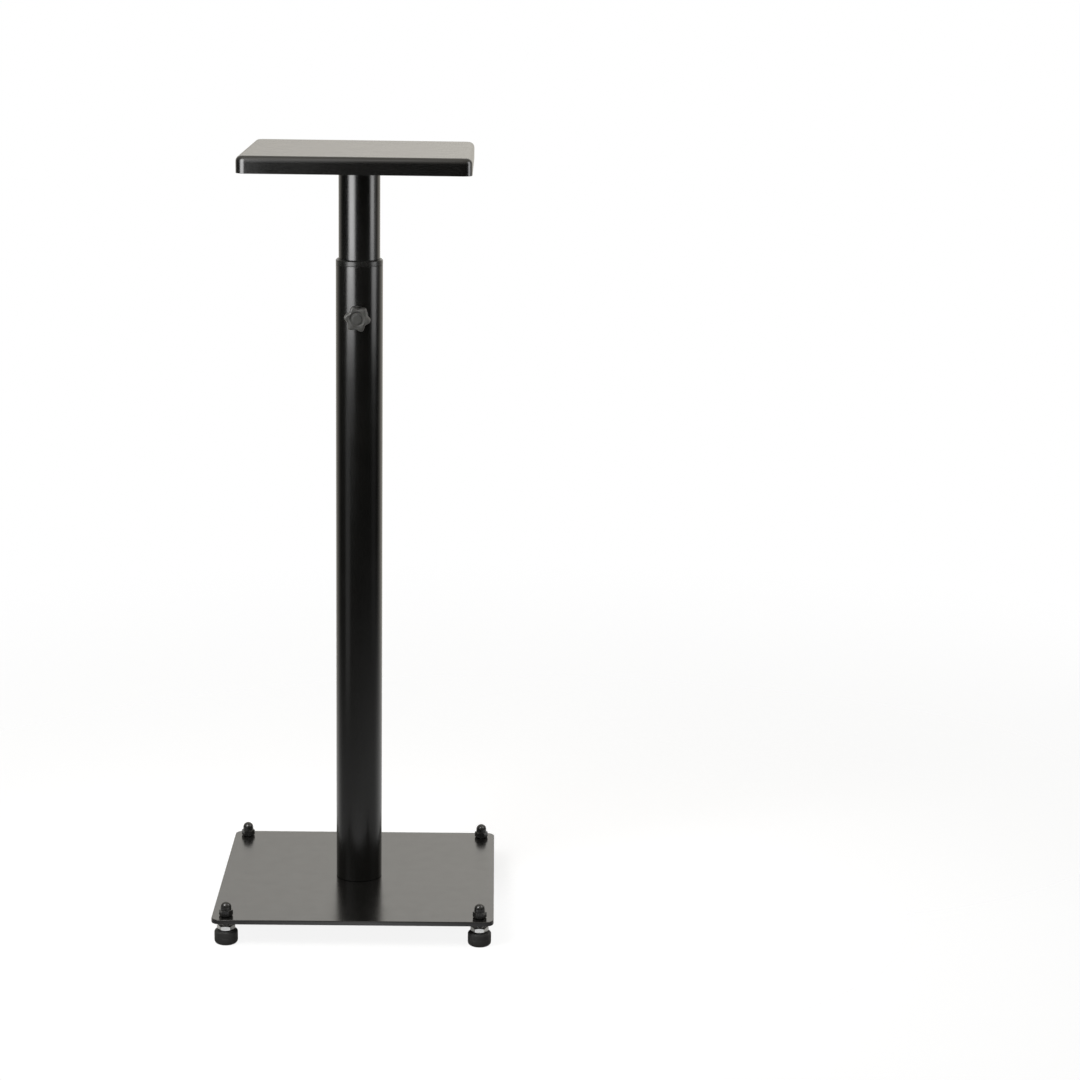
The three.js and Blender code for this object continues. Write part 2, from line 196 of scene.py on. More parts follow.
# Outlines of rounded squares as one grid: row i has its half side and height. Its corner radius
# shrinks with the half side, so that the outlines stay parallel near the edge, and from a tight
# corner (a share of the edge's) it shrinks in step with the outline, so that they close in the
# middle.
def squareRows(profile, half, corner, cornerSteps=12, sideSteps=8, tightShare=0.3):
    reach, height = profile[:, :1], profile[:, 1:]
    inset = half - reach
    tight = tightShare * corner
    inStep = tight * reach / (half - corner + tight)
    radius = np.where(inset < corner - tight, corner - inset, inStep)
    bend = np.linspace(0, pi / 2, cornerSteps + 1)[None]
    along = np.arange(1, sideSteps)[None] / sideSteps
    side = reach - radius
    across = np.concatenate([side + radius * np.cos(bend), side * (1 - 2 * along)], 1)
    up = np.concatenate([side + radius * np.sin(bend), reach + 0 * along], 1)
    x = np.concatenate([across, -up, -across, up], 1)
    y = np.concatenate([up, across, -up, -across], 1)
    return np.stack([x, y, height + 0 * x], -1)


# Four-sided faces between neighbouring rows and columns. The columns always close into a ring.
def gridFaces(rows, columns, looped):
    i = np.arange(rows if looped else rows - 1)[:, None]
    j = np.arange(columns)[None]
    nextRow, nextColumn = (i + 1) % rows, (j + 1) % columns
    here, beside = i * columns + j, i * columns + nextColumn
    above, acrossFrom = nextRow * columns + j, nextRow * columns + nextColumn
    return np.stack([here, beside, acrossFrom, above], -1).reshape(-1, 4)


# Closed mesh of one or more grids: poles and seams are merged, then the faces are turned outwards.
def gridMesh(name, grids, looped=False):
    points, faces, first = [], [], 0
    for grid in grids:
        rows, columns = grid.shape[:2]
        points.append(grid.reshape(-1, 3) * mm)
        faces.append(gridFaces(rows, columns, looped) + first)
        first += rows * columns
    mesh = bpy.data.meshes.new(name)
    mesh.from_pydata(np.concatenate(points).tolist(), [], np.concatenate(faces).tolist())
    work = bmesh.new()
    work.from_mesh(mesh)
    bmesh.ops.remove_doubles(work, verts=work.verts, dist=mergeWithin)
    bmesh.ops.dissolve_degenerate(work, edges=work.edges, dist=collapseUnder)
    bmesh.ops.recalc_face_normals(work, faces=work.faces)
    work.to_mesh(mesh)
    work.free()
    return mesh


# A finished piece: made of its grid, cut where it has holes, coated, and put on the body of its
# node.
def makePiece(name, node, grid, coat, looped=False, cutters=(), smoothUpTo=35):
    piece = bpy.data.objects.new(name, gridMesh(name, [grid], looped))
    bpy.context.scene.collection.objects.link(piece)
    if len(cutters):
        cutAway(piece, cutters)
    piece.data.materials.clear()
    piece.data.materials.append(coat["material"])
    piece.data.shade_smooth()
    piece.data.set_sharp_from_angle(angle=radians(smoothUpTo))
    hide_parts(node)
    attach(piece, frame["nodes"][node]["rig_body"])
    return piece


# Takes the cutters' shapes out of a piece and keeps the result as its mesh.
def cutAway(piece, cutters):
    cutter = bpy.data.objects.new("cutter", gridMesh("cutter", cutters))
    bpy.context.scene.collection.objects.link(cutter)
    cut = piece.modifiers.new("cut", "BOOLEAN")
    cut.object, cut.operation, cut.solver = cutter, "DIFFERENCE", "EXACT"
    bpy.context.view_layer.update()
    graph = bpy.context.evaluated_depsgraph_get()
    solid = piece.data
    piece.data = bpy.data.meshes.new_from_object(piece.evaluated_get(graph), depsgraph=graph)
    piece.modifiers.clear()
    bpy.data.meshes.remove(solid)
    tool = cutter.data
    bpy.data.objects.remove(cutter)
    bpy.data.meshes.remove(tool)


# Cutters for round holes with both edges broken, through one node and on the axes of a kind of
# piece that stands at all four places.
def holeCutters(kind, through, radius, edge=0.4, count=48):
    bottom, top = nodeSpan(through)[1:]
    wide = radius + edge + past
    rows = [(0, bottom - past), (wide, bottom - past), (radius, bottom + edge)]
    rows += [(radius, top - edge), (wide, top + past), (0, top + past)]
    return [turnedOn(f"{kind}_{place}", rows, evenAngles(count)) for place in places]


# One node of a material. Its inputs are numbers, colours or other nodes' sockets.
def addNode(tree, kind, inputs=None, **settings):
    made = tree.nodes.new(kind)
    for key, value in settings.items():
        setattr(made, key, value)
    for key, value in (inputs or {}).items():
        if isinstance(value, bpy.types.NodeSocket):
            tree.links.new(value, made.inputs[key])
        else:
            made.inputs[key].default_value = value
    return made


# Result of a sum on numbers.
def sumOf(tree, operation, *values):
    return addNode(tree, "ShaderNodeMath", dict(enumerate(values)), operation=operation).outputs[0]


# Result of a sum on vectors, which is a number for a distance or a length.
def vectorOf(tree, operation, *values):
    made = addNode(tree, "ShaderNodeVectorMath", dict(enumerate(values)), operation=operation)
    return made.outputs["Value" if operation in ("DISTANCE", "LENGTH") else "Vector"]


# A value carried from one range to another and held at both ends.
def rangeOf(tree, value, fromLow, fromHigh, toLow=0, toHigh=1, **settings):
    ends = {0: value, 1: fromLow, 2: fromHigh, 3: toLow, 4: toHigh}
    return addNode(tree, "ShaderNodeMapRange", ends, **settings).outputs[0]


# The two colours that a factor blends.
def colourOf(tree, factor, first, second):
    blend = {0: factor, 6: (*first, 1), 7: (*second, 1)}
    return addNode(tree, "ShaderNodeMix", blend, data_type="RGBA").outputs[2]


pattern = {"middle": (0.3, 0.7),
           "driftSize": 0.37, "driftDetail": 4.0, "driftOffset": (0.31, 0.17, 0.07)}


# One finish: two shades mixed by a slow noise, roughness that drifts with another, and a surface
# dented by a coarse and a fine noise. Sizes are in millimetres, heights in micrometres.
def makeFinish(name, slotName, look):
    material = bpy.data.materials.new(name)
    material.use_nodes = True
    tree = material.node_tree
    shader = tree.nodes["Principled BSDF"]
    position = addNode(tree, "ShaderNodeTexCoord").outputs["Object"]

    def noise(size, detail=2.0, offset=(0, 0, 0)):
        shift = {"Vector": position, "Location": offset}
        moved = addNode(tree, "ShaderNodeMapping", shift).outputs[0]
        form = {"Vector": moved, "Scale": 1 / (size * mm), "Detail": detail}
        return addNode(tree, "ShaderNodeTexNoise", form).outputs[0]

    patches = rangeOf(tree, noise(look["patch"]), *pattern["middle"])
    shades = colourOf(tree, patches, look["shade"], look["lightShade"])
    tree.links.new(shades, shader.inputs["Base Color"])

    driftSize = look["patch"] * pattern["driftSize"]
    drift = noise(driftSize, pattern["driftDetail"], pattern["driftOffset"])
    rough = rangeOf(tree, drift, *pattern["middle"], *look["roughness"])
    tree.links.new(rough, shader.inputs["Roughness"])

    normal = None
    for size, height, detail in look["dents"]:
        dent = {"Height": noise(size, detail), "Distance": height * micron}
        bump = addNode(tree, "ShaderNodeBump", dent)
        if normal:
            tree.links.new(normal, bump.inputs["Normal"])
        normal = bump.outputs[0]
    tree.links.new(normal, shader.inputs["Normal"])
    shader.inputs["Metallic"].default_value = look.get("metallic", 0)
    shader.inputs["IOR"].default_value = look.get("ior", 1.5)
    return {"material": material, "slot": slotName}


# Each dent is (size, height, detail).
blackCoat = makeFinish("blackPowderCoat", "black_coat", {
    "shade": (0.0036, 0.0036, 0.0033), "lightShade": (0.0052, 0.0051, 0.0047),
    "roughness": (0.20, 0.23), "patch": 45, "ior": 1.6,
    "dents": ((1.4, 11, 1.0), (0.4, 3, 2.0)),
})
knobPlastic = makeFinish("grainedKnobPlastic", "black_plastic", {
    "shade": (0.040, 0.040, 0.038), "lightShade": (0.052, 0.052, 0.049),
    "roughness": (0.33, 0.40), "patch": 9,
    "dents": ((0.5, 25, 2.0), (0.15, 8, 2.0)),
})
collarPlastic = makeFinish("mattCollarPlastic", "collar_plastic", {
    "shade": (0.0075, 0.0075, 0.0070), "lightShade": (0.0105, 0.0105, 0.0095),
    "roughness": (0.25, 0.29), "patch": 12,
    "dents": ((0.6, 20, 2.0), (0.2, 6, 2.0)),
})
footRubber = makeFinish("footRubber", "rubber", {
    "shade": (0.020, 0.020, 0.020), "lightShade": (0.028, 0.028, 0.027),
    "roughness": (0.58, 0.70), "patch": 6,
    "dents": ((0.9, 30, 3.0), (0.2, 14, 3.0)),
})
brightZinc = makeFinish("brightZincPlate", "zinc", {
    "shade": (0.62, 0.63, 0.64), "lightShade": (0.71, 0.71, 0.70),
    "roughness": (0.18, 0.27), "patch": 4, "metallic": 1, "ior": 1.5,
    "dents": ((1.1, 6, 2.0), (0.12, 3, 2.0)),
})
blackSteel = makeFinish("blackenedNutSteel", "black_steel", {
    "shade": (0.010, 0.010, 0.010), "lightShade": (0.018, 0.018, 0.017),
    "roughness": (0.22, 0.30), "patch": 5, "ior": 1.6,
    "dents": ((0.8, 12, 2.0), (0.2, 3, 2.0)),
})
paleNylon = makeFinish("paleNylon", "nylon", {
    "shade": (0.62, 0.61, 0.57), "lightShade": (0.70, 0.69, 0.65),
    "roughness": (0.40, 0.50), "patch": 8,
    "dents": ((0.9, 10, 2.0), (0.25, 5, 2.0)),
})
print("finishes ready")


# Flat plate with rounded corners and rounded edges: rounded squares carried up its side and closed
# over its two faces.
def plateGrid(node, look):
    half, bottom, top = nodeSpan(node)
    inner = [half * share for share in flatShares]
    under = [(0, bottom, 0)] + [(reach, bottom, 0) for reach in inner]
    over = [(reach, top, 0) for reach in reversed(inner)] + [(0, top, 0)]
    rim = [(half, bottom, look["edge"]), (half, top, look["edge"])]
    return squareRows(roundProfile(under + rim + over), half, look["corner"])


floorPlate = {"corner": 9, "edge": 0.8, "studHole": 4.3, "screwHole": 3.5}


# Floor plate, drilled for the four studs and the four column screws.
def makeFloorPlate(look):
    cutters = holeCutters("levelling_stud", "base_plate", look["studHole"])
    cutters += holeCutters("column_screw", "base_plate", look["screwHole"])
    makePiece("floorPlate", "base_plate", plateGrid("base_plate", look), blackCoat, cutters=cutters)


footPad = {"topRound": 3, "bottomRound": 4, "floor": 3.7, "pocket": 6.8, "pocketTop": 8.3,
           "neck": 4.3, "neckEdge": 0.4,
           "partingShare": 0.52, "groove": 0.25, "grooveHalf": 0.4, "grooveEdge": 0.2}


# Rubber pad: one profile from the middle of its foot, over the outside and down into the stud's
# pocket.
def makeFootPad(place, look):
    node = f"foot_pad_{place}"
    radius, top = nodeSpan(node)[::2]
    parting = top * look["partingShare"]
    half, edge = look["grooveHalf"], look["grooveEdge"]
    profile = roundProfile([
        (0, 0, 0), (radius, 0, look["bottomRound"]),
        (radius, parting - half, edge), (radius - look["groove"], parting, edge),
        (radius, parting + half, edge), (radius, top, look["topRound"]),
        (look["neck"], top, look["neckEdge"]), (look["neck"], look["pocketTop"], 0),
        (look["pocket"], look["pocketTop"], 0), (look["pocket"], look["floor"], 0),
        (0, look["floor"], 0),
    ])
    makePiece(f"footPad_{place}", node, turnedOn(node, profile, evenAngles(72)), footRubber)


stud = {"radius": 4, "pitch": 1.25, "headRadius": 6.5, "headTop": 8, "headEdge": 0.6, "tip": 1,
        "across": 17, "hexBottom": 15.8, "hexTop": 20.8, "rounding": 0.5}


# Levelling stud: round head in the rubber, shank, hexagon and thread, as one turned grid.
def makeStud(place, look):
    node = f"levelling_stud_{place}"
    bottom, top = nodeSpan(node)[1:]
    angles = hexAngles(look["across"], look["rounding"])
    radius, head, edge = look["radius"], look["headRadius"], look["headEdge"]
    headTop = look["headTop"]
    rows = [(0, bottom), (head - edge, bottom), (head, bottom + edge)]
    rows += [(head, headTop - edge), (head - edge, headTop), (radius, headTop)]
    rows += [(radius, look["hexBottom"])]
    rows += hexRows(angles, look, look["hexBottom"], look["hexTop"])[::-1]
    rows += threadRows(radius, look["pitch"], look["hexTop"], top - look["tip"], angles)
    rows += [(radius - look["tip"], top), (0, top)]
    makePiece(f"levellingStud_{place}", node, turnedOn(node, rows, angles), brightZinc)


capNut = {"across": 13, "rounding": 0.4, "hexHeight": 6.5, "dome": 5.75, "domeRows": 12,
          "rootHeight": 0.3, "rootWidth": 0.1, "bore": 4.3, "boreDepth": 11.5, "edge": 0.6}


# Domed nut: down its dome, over the hexagon, under it and up the bore.
def makeCapNut(place, look):
    node = f"cap_nut_{place}"
    bottom, top = nodeSpan(node)[1:]
    angles = hexAngles(look["across"], look["rounding"])
    dome, bore, edge = look["dome"], look["bore"], look["edge"]
    shoulder = top - dome
    hexTop = bottom + look["hexHeight"]
    rises = np.linspace(pi / 2, 0, look["domeRows"])
    rows = [(dome * cos(rise), shoulder + dome * sin(rise)) for rise in rises]
    rows += [(dome, hexTop + look["rootHeight"]), (dome + look["rootWidth"], hexTop)]
    rows += hexRows(angles, look, bottom, hexTop)
    rows += [(bore + edge, bottom), (bore, bottom + edge)]
    rows += [(bore, bottom + look["boreDepth"]), (0, bottom + look["boreDepth"])]
    makePiece(f"capNut_{place}", node, turnedOn(node, rows, angles), blackSteel)


makeFloorPlate(floorPlate)
for place in places:
    makeFootPad(place, footPad)
    makeStud(place, stud)
    makeCapNut(place, capNut)
print("floor plate and feet made")


screw = {"radius": 3, "pitch": 1, "perPitch": 6, "tip": 0.8,
         "head": 5.25, "headHeight": 3.3, "edge": 0.2, "rim": 1.0, "crown": 2.9, "crownPower": 0.8,
         "socket": 4, "rounding": 0.15, "socketEdge": 0.15, "socketDepth": 2, "socketTaper": 0.97,
         "drillPoint": 0.4}


# Button-head socket screw, head down: from the socket's floor over the crown, the rim and the
# thread. The crown's radius and height follow the sine and 1 - cosine of its lean, each to the
# crown's power.
def makeScrew(name, node, look):
    face, top = nodeSpan(node)[1:]
    angles = hexAngles(look["socket"], look["rounding"], 6, 3)
    socket = hexRadius(angles, look["socket"], look["rounding"])
    head, crown, edge = look["head"], look["crown"], look["socketEdge"]
    bearing = face + look["headHeight"]
    socketFloor = face + look["socketDepth"]
    lean = np.linspace(0, 1, 7) * pi / 2
    crownRadius = crown + (head - crown) * np.sin(lean) ** look["crownPower"]
    rise = look["headHeight"] - look["rim"]
    crownHeight = face + rise * (1 - np.cos(lean)) ** look["crownPower"]
    rows = [(0, socketFloor + look["drillPoint"]), (socket * look["socketTaper"], socketFloor)]
    rows += [(socket, face + edge), (socket + edge, face)]
    rows += list(zip(crownRadius, crownHeight))
    rows += [(head, bearing - look["edge"]), (head - look["edge"], bearing)]
    radius, tip = look["radius"], look["tip"]
    rows += threadRows(radius, look["pitch"], bearing, top - tip, angles, look["perPitch"])
    rows += [(radius - tip, top), (0, top)]
    makePiece(name, node, turnedOn(node, rows, angles), brightZinc)


washer = {"hole": 3.5, "edge": 0.25}


# Flat ring with all four edges rounded.
def makeWasher(name, node, look):
    radius, bottom, top = nodeSpan(node)
    hole, edge = look["hole"], look["edge"]
    corners = [(hole, bottom, edge), (radius, bottom, edge), (radius, top, edge), (hole, top, edge)]
    grid = turnedOn(node, roundProfile(corners, 3), evenAngles(48))
    makePiece(name, node, grid, brightZinc, looped=True)


weldNut = {"across": 10, "rounding": 0.3, "bore": 3.3, "edge": 0.5}


# Hexagonal nut: out of the bore, down the hexagon and back into the bore.
def makeWeldNut(place, look):
    node = f"weld_nut_{place}"
    bottom, top = nodeSpan(node)[1:]
    angles = hexAngles(look["across"], look["rounding"])
    bore, edge = look["bore"], look["edge"]
    rows = [(bore, top - edge), (bore + edge, top)]
    rows += hexRows(angles, look, bottom, top)
    rows += [(bore + edge, bottom), (bore, bottom + edge)]
    makePiece(f"weldNut_{place}", node, turnedOn(node, rows, angles), brightZinc, looped=True)


for place in places:
    makeScrew(f"columnScrew_{place}", f"column_screw_{place}", screw)
    makeScrew(f"trayScrew_{place}", f"top_screw_{place}", screw)
    makeWasher(f"columnWasher_{place}", f"column_washer_{place}", washer)
    makeWasher(f"trayWasher_{place}", f"top_washer_{place}", washer)
    makeWeldNut(place, weldNut)
print("screws, washers and nuts made")


clampHeight = (nodeBox("clamp_boss")[0][2] + nodeBox("clamp_boss")[1][2]) / 2


# From the clamp's own axes, which start on the column's axis with +Z outwards, to the stand's,
# where the clamp points to the front.
def alongClamp(grid):
    return np.stack([grid[..., 0], -grid[..., 2], grid[..., 1] + clampHeight], -1)


columnTube = {"wall": 1.5, "end": 0.35, "screwHole": 4.3, "holeMargin": 9}


# Lower tube, a looped profile turned round its axis and drilled for the clamp screw. Rows just
# above and below the hole keep what it cuts under the boss.
def makeColumnTube(look):
    radius, bottom, top = nodeSpan("outer_tube")
    bore, end, hole = radius - look["wall"], look["end"], look["screwHole"]
    below, above = clampHeight - look["holeMargin"], clampHeight + look["holeMargin"]
    profile = roundProfile([
        (bore, bottom, end), (radius, bottom, end), (radius, below, 0), (radius, above, 0),
        (radius, top, end), (bore, top, end), (bore, above, 0), (bore, below, 0),
    ], 3)
    bar = turnedRows([(0, 0), (hole, 0), (hole, radius + past), (0, radius + past)], evenAngles(48))
    grid = turnedRows(profile, evenAngles(120))
    makePiece("columnTube", "outer_tube", grid, blackCoat, looped=True, cutters=[alongClamp(bar)])


columnPlug = {"hole": 6, "edge": 1.0, "fineEdge": 0.4, "screwHole": 3.3}


# Ring in the column's lower end, bored for the four column screws.
def makeColumnPlug(look):
    radius, bottom, top = nodeSpan("base_plug")
    hole, fine = look["hole"], look["fineEdge"]
    corners = [(hole, bottom, fine), (radius, bottom, look["edge"])]
    corners += [(radius, top, fine), (hole, top, fine)]
    grid = turnedRows(roundProfile(corners, 3), evenAngles(72))
    makePiece("columnPlug", "base_plug", grid, brightZinc, looped=True,
              cutters=holeCutters("column_screw", "base_plug", look["screwHole"]))


collar = {"bore": 22.3, "sleeve": 23.2, "height": 6, "chamfer": 1.3, "leadIn": 0.6,
          "edge": 0.35, "fineEdge": 0.2}


# Flanged sleeve: the flange stands on the tube's end, the sleeve reaches down inside it.
def makeCollar(look):
    radius, bottom, top = nodeSpan("guide_collar")
    bore, sleeve, edge, fine = look["bore"], look["sleeve"], look["edge"], look["fineEdge"]
    seat = top - look["height"]
    profile = roundProfile([
        (bore, bottom, fine), (sleeve, bottom, edge), (sleeve, seat, 0), (radius, seat, fine),
        (radius, top - look["chamfer"], edge), (radius - look["chamfer"], top, edge),
        (bore + look["leadIn"], top, fine), (bore, top - look["leadIn"], fine),
    ])
    makePiece("guideCollar", "guide_collar", turnedRows(profile, evenAngles(120)), collarPlastic,
              looped=True)


postTube = {"radius": 22, "wall": 1.5, "end": 0.35, "margin": 1, "toeStrip": 0.4,
            "weld": 2, "bulge": 0.3, "ripples": 44, "ripple": 0.14}


# Inner tube with the weld that joins it to the flange: the weld's profile is a slope with a slight
# bulge, and its radius swings with the angle, as the beads of a weld overlap. The weld makes the
# node's box wider than the tube, so the tube's radius stands in the dictionary.
def makePostTube(look):
    bottom, top = nodeSpan("inner_tube")[1:]
    radius, end, weld = look["radius"], look["end"], look["weld"]
    bore, toe = radius - look["wall"], top - weld
    angles = evenAngles(4 * look["ripples"])
    wave = np.abs(np.sin(look["ripples"] * angles / 2))
    share = np.linspace(0, 1, 8)
    swell = look["bulge"] * np.sin(pi * share) / sqrt(2)
    rows = list(roundProfile([
        (bore, top, 0), (bore, bottom, end), (radius, bottom, end),
        (radius, toe - look["margin"], 0),
    ], 3))
    rows += [(radius, toe - look["toeStrip"])]
    rows += [(radius + weld * s + b + look["ripple"] * wave * sin(pi * s), toe + weld * s - b)
             for s, b in zip(share, swell)]
    makePiece("postTube", "inner_tube", turnedRows(rows, angles), blackCoat, looped=True)


glide = {"bore": 17, "shoulderHeight": 12, "spigot": 20.2, "edge": 1.0, "boreEdge": 0.4}


# Stepped bush: the wide shoulder runs in the column, the spigot above it sits in the inner tube.
def makeGlide(look):
    radius, bottom, top = nodeSpan("glide_bush")
    bore, spigot, edge, boreEdge = look["bore"], look["spigot"], look["edge"], look["boreEdge"]
    step = bottom + look["shoulderHeight"]
    profile = roundProfile([
        (bore, bottom, boreEdge), (radius, bottom, edge), (radius, step, edge),
        (spigot, step, 0), (spigot, top, edge), (bore, top, boreEdge),
    ])
    makePiece("glideBush", "glide_bush", turnedRows(profile, evenAngles(96)), collarPlastic,
              looped=True)


makeColumnTube(columnTube)
makeColumnPlug(columnPlug)
makeCollar(collar)
makePostTube(postTube)
makeGlide(glide)
print("column made")


boss = {"radius": 9, "bore": 4.3, "rim": 3, "edge": 0.8, "boreEdge": 0.8, "saddle": 25.3,
        "weld": 1.5, "weldHeight": 1.6, "ripples": 26, "ripple": 0.12}


# Height of a round saddle over the column's axis: the root of saddle radius squared minus across
# squared.
def saddleHeight(radius, angles, saddle):
    return np.sqrt(saddle ** 2 - (radius * np.cos(angles)) ** 2)


# Boss with the weld round its foot. The foot's rows lie on the tube, the weld hollows up to the
# boss.
def makeBoss(look):
    face = -nodeBox("clamp_boss")[0][1]
    angles = evenAngles(4 * look["ripples"])
    radius, bore, weld, saddle = look["radius"], look["bore"], look["weld"], look["saddle"]
    wave = look["ripple"] * np.abs(np.sin(look["ripples"] * angles / 2))
    rows = [(bore, saddleHeight(bore, angles, saddle))]
    for sweep in np.linspace(0, pi / 2, 7):
        foot = radius + weld * (1 - sin(sweep)) + wave * sin(2 * sweep)
        lift = look["weldHeight"] * weld * (1 - cos(sweep))
        rows += [(foot, saddleHeight(foot, angles, saddle) + lift)]
    top = roundProfile([
        (radius, face - look["rim"], 0), (radius, face, look["edge"]),
        (bore + look["boreEdge"], face, 0), (bore, face - look["boreEdge"], 0),
    ])
    rows += list(top[1:])
    grid = alongClamp(turnedRows(rows, angles))
    makePiece("clampBoss", "clamp_boss", grid, blackCoat, looped=True)


pad = {"radius": 4, "edge": 0.4, "rim": 2, "saddle": 22.3}


# Pad: round face towards the screw, and a hollow that fits the inner tube.
def makePad(look):
    face = -nodeBox("clamp_pad")[0][1]
    radius, angles = look["radius"], evenAngles(48)
    corners = [(0, face, 0), (radius, face, look["edge"]), (radius, face - look["rim"], 0)]
    rows = list(roundProfile(corners, 3)[:-1])
    rows += [(r, saddleHeight(r, angles, look["saddle"])) for r in radius * np.linspace(1, 0, 7)]
    makePiece("clampPad", "clamp_pad", alongClamp(turnedRows(rows, angles)), paleNylon)


clampScrew = {"radius": 4, "pitch": 1.25, "tip": 0.8}


# Threaded pin with a turned tip, from its tip outwards into the knob.
def makeClampScrew(look):
    low, high = nodeBox("clamp_screw")
    start, end = -high[1], -low[1]
    angles = evenAngles(64)
    rows = [(0, start), (look["radius"] - look["tip"], start)]
    rows += threadRows(look["radius"], look["pitch"], start + look["tip"], end, angles)
    rows += [(0, end)]
    makePiece("clampScrew", "clamp_screw", alongClamp(turnedRows(rows, angles)), brightZinc)


knob = {"tip": 14, "groove": 3.2, "lobes": 6, "point": 0.85, "turned": 52,
        "edge": 2.2, "edgeStrip": 0.4, "hub": 8, "hubFlat": 2, "hubHeight": 5, "hubEdge": 0.6,
        "neck": 0.3, "bore": 4.3, "boreDepth": 11,
        "dish": 8.5, "dishDepth": 1.4, "dishEdge": 0.05, "dishRound": 0.6,
        "cap": 5, "capHeight": 0.9, "capFoot": 0.2, "capRound": 0.4, "capRise": 0.1}


# Star knob in one grid, from the end of its bore round the hub and the lobes to the middle of its
# face. The star's radius is its tip minus groove times ((1 - cos(lobes x angle)) / 2) to the power
# point.
def makeKnob(look):
    low, high = nodeBox("clamp_knob")
    back, face = -high[1], -low[1]
    angles = evenAngles(24 * look["lobes"])
    swing = (1 - np.cos(look["lobes"] * (angles - radians(look["turned"])))) / 2
    star = look["tip"] - look["groove"] * swing ** look["point"]
    edge, strip, dish, cap = look["edge"], look["edgeStrip"], look["dish"], look["cap"]
    hub, hubEdge = look["hub"], look["hubEdge"]
    bore, boreEnd = look["bore"], back + look["boreDepth"]
    headBack = back + look["hubHeight"]
    dishFloor = face - look["dishDepth"]
    capTop = dishFloor + look["capHeight"]
    rows = [(0, boreEnd), (bore, boreEnd), (bore, back + hubEdge), (bore + hubEdge, back)]
    corners = [(hub - look["hubFlat"], back, 0), (hub, back, hubEdge), (hub, headBack, 0)]
    rows += list(roundProfile(corners))
    rows += [(hub + look["neck"], headBack)]
    bend = np.linspace(0, pi / 2, 8)
    rows += [(star - edge + edge * sin(a), headBack + edge - edge * cos(a)) for a in bend]
    rows += [(star, headBack + edge + strip), (star, face - edge - strip)]
    rows += [(star - edge + edge * cos(a), face - edge + edge * sin(a)) for a in bend]
    rows += list(roundProfile([
        (dish + look["dishEdge"], face, 0), (dish, face - look["dishEdge"], 0),
        (dish - look["dishDepth"], dishFloor, look["dishRound"]), (cap, dishFloor, look["capFoot"]),
        (cap, capTop, look["capRound"]), (0, capTop + look["capRise"], 0),
    ]))
    makePiece("starKnob", "clamp_knob", alongClamp(turnedRows(rows, angles)), knobPlastic)


makeBoss(boss)
makePad(pad)
makeClampScrew(clampScrew)
makeKnob(knob)
print("clamp made")


flange = {"corner": 10, "edge": 0.5, "screwHole": 3.5}


# Flange inside the tray, drilled for the four tray screws.
def makeFlange(look):
    makePiece("trayFlange", "top_flange", plateGrid("top_flange", look), blackCoat,
              cutters=holeCutters("top_screw", "top_flange", look["screwHole"]))


tray = {"sheet": 2, "corner": 10, "edge": 6, "rim": 0.4}


# Pressed tray: rounded squares from the middle of the top over the drawn edge, round the lip's cut
# rim and back along the inside, one sheet thickness away.
def makeTray(look):
    half, bottom, top = nodeSpan("top_plate")
    edge, rim, sheet = look["edge"], look["rim"], look["sheet"]
    inside, underside = half - sheet, top - sheet
    spread = [half * share for share in flatShares]
    corners = [(0, top, 0)] + [(reach, top, 0) for reach in spread]
    corners += [(half, top, edge), (half, bottom, rim)]
    corners += [(inside, bottom, rim), (inside, underside, edge - sheet)]
    corners += [(reach, underside, 0) for reach in reversed(spread)] + [(0, underside, 0)]
    grid = squareRows(roundProfile(corners, 7), half, look["corner"])
    makePiece("tray", "top_plate", grid, blackCoat)


makeFlange(flange)
makeTray(tray)
print("tray made")


# Whether a ray comes from the camera, and whether it comes from gloss or glass.
def rayKinds(tree):
    path = addNode(tree, "ShaderNodeLightPath").outputs
    inGloss = sumOf(tree, "ADD", path["Is Glossy Ray"], path["Is Transmission Ray"])
    return path["Is Camera Ray"], inGloss


# Metres, and shares of white. Each pair is where a change starts and where it is complete.
floorLook = {"radius": 1.8, "rings": 5, "tone": 0.45, "roughness": 0.9, "gloss": 0.1, "glow": 0.75,
             "fadeMiddle": (0.2, 0, 0), "fade": (1.75, 0.35), "fadePower": 1.5,
             "toBack": (-0.05, 0.65), "frontShare": 0.45}


